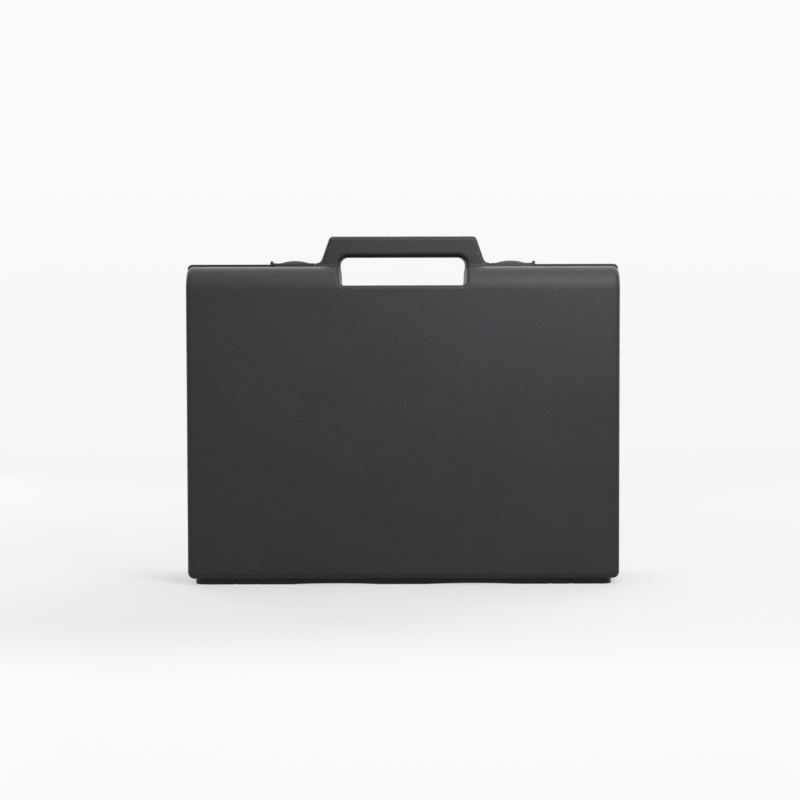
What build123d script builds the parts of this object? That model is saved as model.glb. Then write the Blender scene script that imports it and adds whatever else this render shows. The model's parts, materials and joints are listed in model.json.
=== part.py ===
"""Carry case for an otoscope set.

Two moulded shells are hinged along the bottom edge, and each carries half of the handle. A snap latch
on either side of the handle holds them shut. Cut foam inside holds the instruments.

The case stands upright on its foot rails. X runs along its width, Y through its depth with the front
shell on -Y, and Z up. The origin lies on the floor, under the plane where the two shells meet.
"""

import os
from math import acos, atan2, cos, degrees, radians, sin, sqrt, tan

from build123d import *

# ---- Shells, in millimetres ----
case_width = 340.0  # over the rim beads
half_depth = 41.5  # from the meeting plane to the face of one shell
body_bottom = 4.0  # underside of the shells at the meeting plane
body_top = 247.0  # top of the shells at the meeting plane
wall = 2.5
draft = 1.0  # degrees, on every wall that runs along Y
shoulder_radius = 18.0  # large round from the face to the top
edge_radius = 5.0

# ---- Seam between the shells ----
seam_gap = 0.15
rim_bead = 2.0  # how far the bead stands out of the walls
bead_depth = 2.4  # along Y, on each shell
bead_start = 16.0  # height where the bead begins on the sides
bead_corner_radius = 6.0
bead_bevel = 0.6  # along the bead's outer edges
lip_thickness = 1.0
lip_setback = 0.15  # from the inside of the wall
lip_height = 1.8
lip_clearance = 0.2

# ---- Handle and hand opening ----
handle_rise = 23.5  # of the handle over the top of the body
handle_half_depth = 14.0
handle_top_half_width = 57.2
handle_slope = 19.4  # degrees from upright
handle_corner_radius = 3.6
handle_edge_radius = 3.2
handle_foot_height = 2.8  # of the ledge at the handle's foot, over the top of the body
handle_flare_radius = 4.5
handle_ledge = 3.9  # from the handle's sloping side to the end of its foot
opening_half_width = 49.3
opening_height = 22.7
grip_thickness = 16.1  # from the opening to the top of the handle
opening_upper_radius = 6.0
opening_lower_radius = 3.5
pocket_edge_radius = 3.0
grip_edge_radius = 4.0
grip_rib_thickness = 1.8
grip_rib_count = 5
grip_rib_pitch = 18.0
grip_rib_setback = 1.5  # ribs stop this far behind the meeting plane
peg_size = 3.0  # square pegs key the two halves of the handle together
peg_length = 3.0
peg_clearance = 0.2
peg_boss_size = 6.4

# ---- Latches ----
latch_width = 30.5
latch_side_gap = 1.1
cheek_thickness = 2.0
cheek_height = 3.4
cheek_depth = 11.0
cheek_round = 2.5
latch_pin_radius = 1.0
latch_pin_engagement = 3.0  # how deep the pin sits in the handle's foot
latch_pivot_y = 9.5
latch_pivot_height = 0.8  # over the top of the body
latch_barrel_radius = 1.8
latch_pin_clearance = 0.06
latch_seat_clearance = 0.35
lever_thickness = 1.3
lever_reach = 12.4  # from the meeting plane to the lever's front edge
hook_thickness = 2.9
hook_gap = 0.3  # between the hook's tip and the body
lever_rib_thickness = 1.5
lever_rib_height = 0.8
lever_rib_spacing = 10.5
keeper_width = 25.0
keeper_depth = 1.6
keeper_gap = 0.25
keeper_height = 1.1
thumb_rise = 2.0
thumb_width = 24.0
thumb_front = 8.6  # from the meeting plane to the foot of the scoop
thumb_back = 0.5
thumb_crest = 1.2
scoop_radius = 2.6

# ---- Foot rails ----
rail_inset = 8.0  # from the side of the case to the end of the rail
rail_inner = 4.6
rail_outer = 36.0  # from the meeting plane to the rail's outer face
rail_front_radius = 8.0
rail_inner_radius = 1.5
rail_arch = 0.8  # rise of the shallow arches between the three feet
end_foot_length = 74.0
middle_foot_length = 36.0
rail_floor = 1.8  # least thickness under the cells
rail_cell_count = 12
rail_rib_thickness = 2.0
hinge_slot_width = 2.2
hinge_slot_depth = 1.5

# ---- Hinges ----
hinge_inset = 47.8  # from the side of the case to the middle of a hinge
hinge_axis_z = 2.8
hinge_pin_radius = 1.0
hinge_pin_clearance = 0.05
knuckle_radius = 2.4
end_knuckle_width = 4.8  # each of the rear shell's two knuckles
middle_knuckle_width = 5.8
knuckle_gap = 0.2
knuckle_clearance = 0.3
knuckle_leaf_drop = 1.0  # how far the leaf reaches below the hinge axis

# ---- Foam ----
foam_gap = 0.3
foam_bevel = 2.0
base_pad_thickness = 6.0
lower_foam_thickness = 12.0
upper_foam_thickness = 15.0
lid_foam_base = 14.0
peak_height = 20.0
peak_pitch = 33.0
peak_base = 25.0
peak_tip = 9.0
peak_columns = 9
peak_rows = 6
pocket_radius = 8.0
handle_slot_length = 170.0
handle_slot_width = 34.0
handle_slot_drop = 63.7  # of its centre line below the hand opening
head_pocket_width = 58.0
head_pocket_height = 64.0
spare_head_width = 46.0
finger_notch_radius = 13.0
pocket_margin = 20.0  # of foam between the outermost pockets and the sides
specula_box_width = 112.0
charger_pocket_width = 78.0
lower_pocket_height = 82.0
lower_pocket_base = 30.0  # height of the lower pockets over the floor
pocket_web = 20.0  # foam left between neighbouring pockets
tip_hole_radius = 9.0
tip_hole_pitch = 27.0

body_half_width = case_width / 2 - rim_bead
rail_half_length = case_width / 2 - rail_inset
hinge_centre = case_width / 2 - hinge_inset
handle_top = body_top + handle_rise
handle_foot_top = body_top + handle_foot_height
opening_ceiling = handle_top - grip_thickness
opening_floor = opening_ceiling - opening_height
handle_side_wall = wall / cos(radians(handle_slope))
handle_foot_half_width = handle_top_half_width + (handle_rise - handle_foot_height) * tan(radians(handle_slope))
latch_inner_side = handle_foot_half_width + handle_ledge
latch_centre = latch_inner_side + latch_side_gap + latch_width / 2
latch_outer_side = latch_centre + latch_width / 2 + latch_side_gap
cheek_outside = latch_outer_side + cheek_thickness
seat_width = latch_width + latch_side_gap
latch_pivot_z = body_top + latch_pivot_height
lever_top = latch_pivot_z + latch_barrel_radius
hinge_half_width = middle_knuckle_width / 2 + knuckle_gap + end_knuckle_width
face_inside = half_depth - wall


def handle_half_width(height):
    """Half the handle's width at a height, along its sloping sides."""
    return handle_top_half_width + (handle_top - height) * tan(radians(handle_slope))


def shell_block(inset, finish):
    """The front shell as a plain block, set in from its outside, its edges finished by fillet or chamfer."""
    reach = body_half_width - inset
    depth = half_depth - inset
    lean = depth * tan(radians(draft))
    low = body_bottom + inset
    high = body_top - inset
    with BuildPart() as block:
        with BuildSketch(Plane.YZ.offset(-reach)):
            with BuildLine():
                Polyline((0, low), (0, high), (-depth, high - lean), (-depth, low + lean), close=True)
            make_face()
        extrude(amount=2 * reach)
        with BuildSketch(Plane.XY):
            with BuildLine():
                Polyline((-reach, 0), (reach, 0), (reach - lean, -depth), (lean - reach, -depth), close=True)
            make_face()
        extrude(amount=high, mode=Mode.INTERSECT)
        face_edges = block.edges().filter_by(Axis.X).group_by(Axis.Y)[0].sort_by(Axis.Z)
        fillet(face_edges[-1], shoulder_radius - inset)
        ends = block.faces().sort_by(Axis.X)
        end_edges = (ends[0].edges() + ends[-1].edges()).sort_by(Axis.Y)[:-2]
        lower_edge = block.edges().filter_by(Axis.X).group_by(Axis.Y)[0].sort_by(Axis.Z)[0]
        finish(end_edges + [lower_edge], edge_radius - inset)
    return block.part


def pocket_section(grow):
    """Section of the hand pocket in the top of the body, grown by the walls around it."""
    floor = opening_floor - grow
    with BuildSketch(Plane.XZ) as section:
        with Locations((0, (floor + handle_top) / 2)):
            Rectangle(2 * (opening_half_width + grow), handle_top - floor)
        fillet(section.vertices().group_by(Axis.Y)[0], opening_lower_radius + grow)
    return section.sketch


def opening_section(grow):
    """Section of the whole hand opening, from the pocket's floor to the underside of the grip."""
    floor = opening_floor - grow
    ceiling = opening_ceiling + grow
    with BuildSketch(Plane.XZ) as section:
        with Locations((0, (floor + ceiling) / 2)):
            Rectangle(2 * (opening_half_width + grow), ceiling - floor)
        fillet(section.vertices().group_by(Axis.Y)[0], opening_lower_radius + grow)
        fillet(section.vertices().group_by(Axis.Y)[-1], opening_upper_radius + grow)
    return section.sketch


def cavity_section(grow):
    """Section of the hollow at the meeting plane, grown into the walls around it."""
    low = body_bottom + wall - grow
    high = body_top - wall + grow
    jacket = pocket_section(wall - grow)
    with BuildSketch(Plane.XZ) as section:
        with Locations((0, (low + high) / 2)):
            RectangleRounded(2 * (body_half_width - wall + grow), high - low, edge_radius - wall + grow)
        add(jacket, mode=Mode.SUBTRACT)
    return section.sketch


def handle_block():
    """Front half of the handle with its feet and the opening, solid, with every outer edge rounded."""
    root = body_top - wall
    flare = handle_half_width(handle_foot_top)
    hole = opening_section(0)
    with BuildPart() as handle:
        with BuildSketch(Plane.XZ) as outline:
            with BuildLine():
                Polyline(
                    (-latch_inner_side, root), (-latch_inner_side, handle_foot_top),
                    (-flare, handle_foot_top), (-handle_top_half_width, handle_top),
                    (handle_top_half_width, handle_top), (flare, handle_foot_top),
                    (latch_inner_side, handle_foot_top), (latch_inner_side, root), close=True,
                )
            make_face()
            fillet(outline.vertices().group_by(Axis.Y)[-1], handle_corner_radius)
            fillet(outline.vertices().group_by(Axis.Y)[1].sort_by(Axis.X)[1:-1], handle_flare_radius)
            add(hole, mode=Mode.SUBTRACT)
        extrude(amount=handle_half_depth)
        rims = handle.edges().group_by(Axis.Y)[0]
        inner_rims = rims.filter_by_position(Axis.X, -opening_half_width, opening_half_width)
        inner_rims = inner_rims.filter_by_position(Axis.Z, root, opening_ceiling)
        outer_rims = rims.filter_by_position(Axis.Z, root + wall / 2, handle_top) - inner_rims
        fillet(inner_rims, grip_edge_radius)
        fillet(outer_rims, handle_edge_radius)
    return handle.part


def handle_hollow():
    """The space inside the front half of the handle, open at the meeting plane."""
    low = handle_half_width(body_top) - handle_side_wall
    high = handle_half_width(handle_top - wall) - handle_side_wall
    jacket = opening_section(wall)
    with BuildPart() as hollow:
        with BuildSketch(Plane.XZ):
            with BuildLine():
                Polyline(
                    (-low, body_top), (-high, handle_top - wall),
                    (high, handle_top - wall), (low, body_top), close=True,
                )
            make_face()
            add(jacket, mode=Mode.SUBTRACT)
        extrude(amount=handle_half_depth - wall)
    return hollow.part


def rail_block():
    """Front foot rail: three feet joined by shallow arches, with a rounded front at each end."""
    end_foot = rail_half_length - end_foot_length
    middle_foot = middle_foot_length / 2
    arch_centre = (end_foot + middle_foot) / 2
    root = body_bottom + wall / 2
    with BuildPart() as rail:
        with BuildSketch(Plane.XZ.offset(rail_inner)):
            with BuildLine():
                Polyline((-end_foot, 0), (-rail_half_length, 0), (-rail_half_length, root))
                Polyline((-rail_half_length, root), (rail_half_length, root))
                Polyline((rail_half_length, root), (rail_half_length, 0), (end_foot, 0))
                ThreePointArc((end_foot, 0), (arch_centre, rail_arch), (middle_foot, 0))
                Line((middle_foot, 0), (-middle_foot, 0))
                ThreePointArc((-middle_foot, 0), (-arch_centre, rail_arch), (-end_foot, 0))
            make_face()
        extrude(amount=rail_outer - rail_inner)
        corners = rail.edges().filter_by(Axis.Z).group_by(Axis.Y)
        fillet(corners[0], rail_front_radius)
        fillet(corners[-1], rail_inner_radius)
        with BuildSketch(Plane.XZ.offset(rail_outer - hinge_slot_depth)):
            with Locations((-hinge_centre, root / 2), (hinge_centre, root / 2)):
                with GridLocations(2 * hinge_half_width, 0, 2, 1):
                    Rectangle(hinge_slot_width, root)
        extrude(amount=hinge_slot_depth, mode=Mode.SUBTRACT)
    return rail.part


def rim_bead_block():
    """Front half of the rim bead, from the foot of one side over the top to the other."""
    root = wall / 2
    inner_reach = body_half_width - root
    inner_top = body_top - root
    outer_top = body_top + rim_bead
    with BuildPart() as bead:
        with BuildSketch(Plane.XZ):
            with Locations((0, outer_top / 2)):
                RectangleRounded(case_width, outer_top, bead_corner_radius)
            with Locations((0, inner_top / 2)):
                RectangleRounded(2 * inner_reach, inner_top, edge_radius - root, mode=Mode.SUBTRACT)
            Rectangle(case_width, 2 * bead_start, mode=Mode.SUBTRACT)
            with Locations((0, outer_top)):
                Rectangle(2 * cheek_outside, 2 * rim_bead + wall, mode=Mode.SUBTRACT)
        extrude(amount=bead_depth)
        front_rims = bead.edges().group_by(Axis.Y)[0]
        chamfer(front_rims.filter_by(stands_proud), bead_bevel)
    return bead.part


def stands_proud(edge):
    """Whether an edge of the rim bead runs along its outside."""
    middle = edge @ 0.5
    return abs(middle.X) > body_half_width + rim_bead / 2 or middle.Z > body_top + rim_bead / 2


def knuckle_block(middle, width, side):
    """One hinge knuckle centred on middle, and the leaf that joins it to its rail; side -1 is the front."""
    leaf_reach = rail_inner + rail_inner_radius
    leaf_bottom = hinge_axis_z - knuckle_leaf_drop
    leaf_top = body_bottom + wall / 2
    with BuildPart() as knuckle:
        with BuildSketch(Plane.YZ.offset(middle - width / 2)):
            with Locations((0, hinge_axis_z)):
                Circle(knuckle_radius)
            with Locations((side * leaf_reach / 2, (leaf_bottom + leaf_top) / 2)):
                Rectangle(leaf_reach, leaf_top - leaf_bottom)
        extrude(amount=width)
    return knuckle.part


def thumb_ridge(middle):
    """Lens-shaped thumb ridge of a latch, scooped along its front."""
    bottom = lever_top - lever_thickness / 2
    scoop_turn = acos(1 - thumb_rise / scoop_radius)
    half_turn = scoop_turn / 2
    scoop_middle = (-thumb_front + scoop_radius * sin(half_turn), lever_top + scoop_radius * (1 - cos(half_turn)))
    crest_y = -thumb_front + scoop_radius * sin(scoop_turn)
    crest_z = lever_top + thumb_rise
    with BuildPart() as ridge:
        with BuildSketch(Plane.YZ.offset(middle - thumb_width / 2)):
            with BuildLine():
                ThreePointArc((-thumb_front, lever_top), scoop_middle, (crest_y, crest_z))
                Polyline(
                    (crest_y, crest_z), (crest_y + thumb_crest, crest_z), (thumb_back, lever_top),
                    (thumb_back, bottom), (-thumb_front, bottom), (-thumb_front, lever_top),
                )
            make_face()
        extrude(amount=thumb_width)
        with BuildSketch(Plane.XZ.offset(-half_depth)):
            with BuildLine():
                left = middle - thumb_width / 2
                right = middle + thumb_width / 2
                ThreePointArc((left, lever_top), (middle, crest_z), (right, lever_top))
                Polyline((right, lever_top), (right, bottom), (left, bottom), (left, lever_top))
            make_face()
        extrude(amount=2 * half_depth, mode=Mode.INTERSECT)
    return ridge.part


def roof_height(depth):
    """Height of the hollow's roof at a distance from the meeting plane."""
    inner_radius = shoulder_radius - wall
    past_shoulder = max(0, depth - (half_depth - shoulder_radius))
    drop = inner_radius - sqrt(inner_radius**2 - past_shoulder**2)
    return body_top - wall - depth * tan(radians(draft)) - drop


def foam_sheet(front, back):
    """A straight-cut sheet of foam between two distances from the meeting plane, in the rear shell."""
    lean = back * tan(radians(draft))
    reach = body_half_width - wall - lean - foam_gap
    bottom = body_bottom + wall + lean + foam_gap
    jacket = pocket_section(wall + foam_gap)
    with BuildPart() as sheet:
        with BuildSketch(Plane.YZ.offset(-reach)):
            with BuildLine():
                Polyline(
                    (front, bottom), (front, roof_height(front) - foam_gap),
                    (back, roof_height(back) - foam_gap), (back, bottom), close=True,
                )
            make_face()
        extrude(amount=2 * reach)
        corners = (sheet.faces().sort_by(Axis.X)[0].edges() + sheet.faces().sort_by(Axis.X)[-1].edges()).sort_by(Axis.Y)
        chamfer(corners[2:-2], edge_radius - wall)
        chamfer(sheet.faces().sort_by(Axis.Y)[-1].edges(), foam_bevel)
        extrude(jacket, amount=-half_depth, mode=Mode.SUBTRACT)
    return sheet.part


# ---- Shapes that both shells use ----
outside = shell_block(0, fillet)
handle_solid = handle_block()
handle_space = handle_hollow()
rail_solid = rail_block()
bead = rim_bead_block()
pocket = pocket_section(0)
pocket_jacket = pocket_section(wall)

with BuildPart() as cavity:
    add(shell_block(wall, chamfer))
    extrude(pocket_jacket, amount=half_depth, mode=Mode.SUBTRACT)

grip_middle = (opening_ceiling + handle_top) / 2
grip_height = handle_top - opening_ceiling - wall
peg_spots = [(-1.5 * grip_rib_pitch, grip_middle), (1.5 * grip_rib_pitch, grip_middle)]
cell_pitch = 2 * (rail_half_length - rail_front_radius) / rail_cell_count
cell_floor = rail_arch + rail_floor
cell_top = body_bottom + wall + half_depth * tan(radians(draft))

with BuildPart() as shell_half:
    add(outside)
    add(rail_solid)
    extrude(pocket, amount=half_depth, mode=Mode.SUBTRACT)
    pocket_rims = shell_half.edges(Select.LAST).filter_by(Axis.Y, reverse=True)
    fillet(pocket_rims.filter_by(lambda edge: edge.center().Y < -seam_gap), pocket_edge_radius)
    add(bead)
    add(cavity.part, mode=Mode.SUBTRACT)
    add(handle_solid)
    add(handle_space, mode=Mode.SUBTRACT)
    # Ribs and peg bosses stiffen the hollow grip.
    with BuildSketch(Plane.XZ.offset(grip_rib_setback)):
        with Locations((0, grip_middle)):
            with GridLocations(grip_rib_pitch, 0, grip_rib_count, 1):
                Rectangle(grip_rib_thickness, grip_height)
    extrude(amount=handle_half_depth - wall / 2 - grip_rib_setback)
    with BuildSketch(Plane.XZ):
        with Locations(peg_spots):
            Rectangle(peg_boss_size, peg_boss_size)
    extrude(amount=handle_half_depth - wall / 2)
    # Cells lighten the foot rail from inside.
    with BuildSketch(Plane.XY.offset(cell_floor)):
        with Locations((0, -(rail_inner + rail_outer) / 2)):
            with GridLocations(cell_pitch, 0, rail_cell_count, 1):
                Rectangle(cell_pitch - rail_rib_thickness, rail_outer - rail_inner - 2 * wall)
    extrude(amount=cell_top - cell_floor, mode=Mode.SUBTRACT)

# ---- Front shell: the lid ----
rebate = cavity_section(lip_setback + lip_thickness + lip_clearance)
hinge_middles = [-hinge_centre, hinge_centre]
end_knuckle_offset = middle_knuckle_width / 2 + knuckle_gap + end_knuckle_width / 2
end_knuckle_middles = [
    middle + offset for middle in hinge_middles for offset in (-end_knuckle_offset, end_knuckle_offset)
]
front_knuckles = [knuckle_block(middle, middle_knuckle_width, -1) for middle in hinge_middles]
rear_knuckles = [knuckle_block(middle, end_knuckle_width, 1) for middle in end_knuckle_middles]
hook_back = lever_reach - hook_thickness
keeper_middle = hook_back - keeper_gap - keeper_depth / 2

with BuildPart() as front_shell:
    add(shell_half.part)
    extrude(rebate, amount=lip_height + lip_clearance, mode=Mode.SUBTRACT)
    split(bisect_by=Plane.XZ.offset(seam_gap), keep=Keep.TOP)
    # Room for the rear shell's knuckles.
    for middle in end_knuckle_middles:
        with BuildSketch(Plane.YZ.offset(middle - end_knuckle_width / 2 - knuckle_gap)):
            with Locations((0, hinge_axis_z)):
                Circle(knuckle_radius + knuckle_clearance)
        extrude(amount=end_knuckle_width + 2 * knuckle_gap, mode=Mode.SUBTRACT)
    add(front_knuckles)
    for middle in hinge_middles:
        with BuildSketch(Plane.YZ.offset(middle - hinge_half_width)):
            with Locations((0, hinge_axis_z)):
                Circle(hinge_pin_radius + hinge_pin_clearance)
        extrude(amount=2 * hinge_half_width, mode=Mode.SUBTRACT)
    # Keeper ridges that the latch hooks drop over.
    with BuildSketch(Plane.XY.offset(body_top - wall / 2)):
        with Locations((-latch_centre, -keeper_middle), (latch_centre, -keeper_middle)):
            Rectangle(keeper_width, keeper_depth)
    extrude(amount=keeper_height + wall / 2)
    # Sockets for the pegs of the rear half of the handle.
    with BuildSketch(Plane.XZ):
        with Locations(peg_spots):
            Rectangle(peg_size + 2 * peg_clearance, peg_size + 2 * peg_clearance)
    extrude(amount=peg_length + peg_clearance, mode=Mode.SUBTRACT)

# ---- Rear shell: the base ----
lip_outer = cavity_section(lip_setback + lip_thickness)
lip_inner = cavity_section(lip_setback)
mirrored_half = mirror(shell_half.part, about=Plane.XZ)

with BuildPart() as rear_shell:
    add(mirrored_half)
    with BuildSketch(Plane.XZ):
        add(lip_outer)
        add(lip_inner, mode=Mode.SUBTRACT)
    extrude(amount=lip_height)
    # Room for the front shell's knuckles.
    for middle in hinge_middles:
        with BuildSketch(Plane.YZ.offset(middle - middle_knuckle_width / 2 - knuckle_gap)):
            with Locations((0, hinge_axis_z)):
                Circle(knuckle_radius + knuckle_clearance)
        extrude(amount=middle_knuckle_width + 2 * knuckle_gap, mode=Mode.SUBTRACT)
    add(rear_knuckles)
    for middle in hinge_middles:
        with BuildSketch(Plane.YZ.offset(middle - hinge_half_width)):
            with Locations((0, hinge_axis_z)):
                Circle(hinge_pin_radius)
        extrude(amount=2 * hinge_half_width, mode=Mode.SUBTRACT)
    # Outer cheeks of the latches.
    for cheek_start in (-cheek_outside, latch_outer_side):
        with BuildSketch(Plane.YZ.offset(cheek_start)) as cheek:
            with Locations((latch_pivot_y, body_top + (cheek_height - wall / 2) / 2)):
                Rectangle(cheek_depth, cheek_height + wall / 2)
            fillet(cheek.vertices().group_by(Axis.Y)[-1], cheek_round)
        extrude(amount=cheek_thickness)
    # Round seats under the latch barrels, and bores for the latch pins.
    for latch_middle in (-latch_centre, latch_centre):
        with BuildSketch(Plane.YZ.offset(latch_middle - seat_width / 2)):
            with Locations((latch_pivot_y, latch_pivot_z)):
                Circle(latch_barrel_radius + latch_seat_clearance)
        extrude(amount=seat_width, mode=Mode.SUBTRACT)
    for bore_start in (-cheek_outside, latch_inner_side - latch_pin_engagement):
        with BuildSketch(Plane.YZ.offset(bore_start)):
            with Locations((latch_pivot_y, latch_pivot_z)):
                Circle(latch_pin_radius)
        extrude(amount=cheek_outside - latch_inner_side + latch_pin_engagement, mode=Mode.SUBTRACT)
    # Pegs that key the two halves of the handle together.
    with BuildSketch(Plane.XZ.offset(-wall)):
        with Locations(peg_spots):
            Rectangle(peg_size, peg_size)
    extrude(amount=wall + peg_length)

# ---- Latches and pins ----
hook_bottom = body_top - lever_reach * tan(radians(draft)) + hook_gap
lever_underside = lever_top - lever_thickness
latches = {}
for latch_name, middle in (("latch_left", -latch_centre), ("latch_right", latch_centre)):
    ridge = thumb_ridge(middle)
    with BuildPart() as latch:
        with BuildSketch(Plane.YZ.offset(middle - latch_width / 2)):
            with BuildLine():
                Polyline(
                    (-lever_reach, hook_bottom), (-lever_reach, lever_top), (latch_pivot_y, lever_top),
                    (latch_pivot_y, lever_underside), (-hook_back, lever_underside),
                    (-hook_back, hook_bottom), close=True,
                )
            make_face()
            with Locations((latch_pivot_y, latch_pivot_z)):
                Circle(latch_barrel_radius)
        extrude(amount=latch_width)
        add(ridge)
        rib_length = latch_pivot_y + hook_back - keeper_depth - 2 * keeper_gap
        with BuildSketch(Plane.XY.offset(lever_underside - lever_rib_height)):
            with Locations((middle, latch_pivot_y - rib_length / 2)):
                with GridLocations(lever_rib_spacing, 0, 3, 1):
                    Rectangle(lever_rib_thickness, rib_length)
        extrude(amount=lever_rib_height + lever_thickness / 2)
        with BuildSketch(Plane.YZ.offset(middle - latch_width / 2)):
            with Locations((latch_pivot_y, latch_pivot_z)):
                Circle(latch_pin_radius + latch_pin_clearance)
        extrude(amount=latch_width, mode=Mode.SUBTRACT)
    latches[latch_name] = latch

pins = {}
latch_pin_length = cheek_outside - latch_inner_side + latch_pin_engagement
for pin_name, pin_start, pin_centre, pin_radius, pin_length in (
    ("latch_pin_left", -cheek_outside, (latch_pivot_y, latch_pivot_z), latch_pin_radius, latch_pin_length),
    ("latch_pin_right", cheek_outside - latch_pin_length, (latch_pivot_y, latch_pivot_z),
     latch_pin_radius, latch_pin_length),
    ("hinge_pin_left", -hinge_centre - hinge_half_width, (0, hinge_axis_z),
     hinge_pin_radius, 2 * hinge_half_width),
    ("hinge_pin_right", hinge_centre - hinge_half_width, (0, hinge_axis_z),
     hinge_pin_radius, 2 * hinge_half_width),
):
    with BuildPart() as pin:
        with BuildSketch(Plane.YZ.offset(pin_start)):
            with Locations(pin_centre):
                Circle(pin_radius)
        extrude(amount=pin_length)
    pins[pin_name] = pin

# ---- Foam ----
foam_half_width = body_half_width - wall - foam_gap
pocket_reach = foam_half_width - pocket_margin
handle_slot_height = opening_floor - handle_slot_drop
slot_middle = handle_slot_length / 2 - pocket_reach
head_middle = handle_slot_length - pocket_reach + head_pocket_width / 2 - pocket_radius
lower_middle = lower_pocket_base + lower_pocket_height / 2
charger_middle = specula_box_width - pocket_reach + pocket_web + charger_pocket_width / 2
tips_left = charger_middle + charger_pocket_width / 2 + pocket_web
tips_middle = (tips_left + pocket_reach) / 2

with BuildSketch(Plane.XZ) as deep_cut_outs:
    with Locations((slot_middle, handle_slot_height)):
        RectangleRounded(handle_slot_length, handle_slot_width, pocket_radius)
    with Locations((head_middle, handle_slot_height)):
        RectangleRounded(head_pocket_width, head_pocket_height, pocket_radius)
    with Locations((pocket_reach - spare_head_width / 2, handle_slot_height)):
        RectangleRounded(spare_head_width, head_pocket_height, pocket_radius)
    with Locations((specula_box_width / 2 - pocket_reach, lower_middle)):
        RectangleRounded(specula_box_width, lower_pocket_height, pocket_radius)
    with Locations((charger_middle, lower_middle)):
        RectangleRounded(charger_pocket_width, lower_pocket_height, pocket_radius)

with BuildSketch(Plane.XZ) as all_cut_outs:
    add(deep_cut_outs.sketch)
    with Locations((slot_middle, handle_slot_height)):
        with GridLocations(0, handle_slot_width, 1, 2):
            Circle(finger_notch_radius)
    with Locations((tips_middle, lower_middle)):
        with GridLocations(tip_hole_pitch, tip_hole_pitch, 2, 3):
            Circle(tip_hole_radius)

foam_back = face_inside - foam_gap
pad_front = foam_back - base_pad_thickness
lower_front = pad_front - lower_foam_thickness
upper_front = lower_front - upper_foam_thickness

with BuildPart() as base_pad:
    add(foam_sheet(pad_front, foam_back))

with BuildPart() as lower_foam:
    add(foam_sheet(lower_front, pad_front))
    extrude(deep_cut_outs.sketch, amount=-half_depth, mode=Mode.SUBTRACT)

with BuildPart() as upper_foam:
    add(foam_sheet(upper_front, lower_front))
    extrude(all_cut_outs.sketch, amount=-half_depth, mode=Mode.SUBTRACT)

# The lid's foam is convoluted: a sheet with rows of flat-topped peaks.
lid_foam_front = foam_back - lid_foam_base
lid_sheet = mirror(foam_sheet(lid_foam_front, foam_back), about=Plane.XZ)
peak_middle = (body_bottom + opening_floor) / 2
peak_angle = degrees(atan2(2 * peak_height, peak_base - peak_tip))
peak_foot = (Align.CENTER, Align.MIN)

with BuildPart() as peaks:
    with BuildSketch(Plane.YZ.offset(-foam_half_width)):
        with Locations((-lid_foam_front, peak_middle)):
            with GridLocations(0, peak_pitch, 1, peak_rows):
                Trapezoid(peak_base, peak_height, peak_angle, rotation=-90, align=peak_foot)
    extrude(amount=2 * foam_half_width)
    with BuildSketch(Plane.XY):
        with Locations((0, -lid_foam_front)):
            with GridLocations(peak_pitch, 0, peak_columns, 1):
                Trapezoid(peak_base, peak_height, peak_angle, align=peak_foot)
    extrude(amount=body_top, mode=Mode.INTERSECT)

with BuildPart() as lid_foam:
    add(lid_sheet)
    add(peaks.part)

# ---- Pieces ----
front_shell.part.label = "front_shell"
rear_shell.part.label = "rear_shell"
base_pad.part.label = "base_pad"
lower_foam.part.label = "lower_foam"
upper_foam.part.label = "upper_foam"
lid_foam.part.label = "lid_foam"

os.makedirs("parts", exist_ok=True)
export_step(front_shell.part, "parts/front_shell.step")
export_step(rear_shell.part, "parts/rear_shell.step")
export_step(base_pad.part, "parts/base_pad.step")
export_step(lower_foam.part, "parts/lower_foam.step")
export_step(upper_foam.part, "parts/upper_foam.step")
export_step(lid_foam.part, "parts/lid_foam.step")
for piece_name, piece in (latches | pins).items():
    piece.part.label = piece_name
    export_step(piece.part, f"parts/{piece_name}.step")
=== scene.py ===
"""Carry case for an otoscope set: finishes, foam inserts, small trim and studio.

Two moulded shells meet in a beaded seam, carry half of the handle each and stand on their own foot
rails. Snap latches beside the handle hold them shut. The rear shell holds three sheets of cut foam, and
the lid holds one sheet of convoluted foam.

The rigid pieces are the ones in the frame, and get their finishes here. The foam is modelled here, in
the space that its solids hold, and so is the trim that is finer than the shells' solids. Lengths are in
metres, X along the width, Y through the depth and Z up.
"""

import json
import logging
import math
from dataclasses import dataclass
from enum import Enum
from typing import Any, ClassVar, Iterable, Sequence

import bmesh
import bpy
from mathutils import Matrix, Vector, noise

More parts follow.
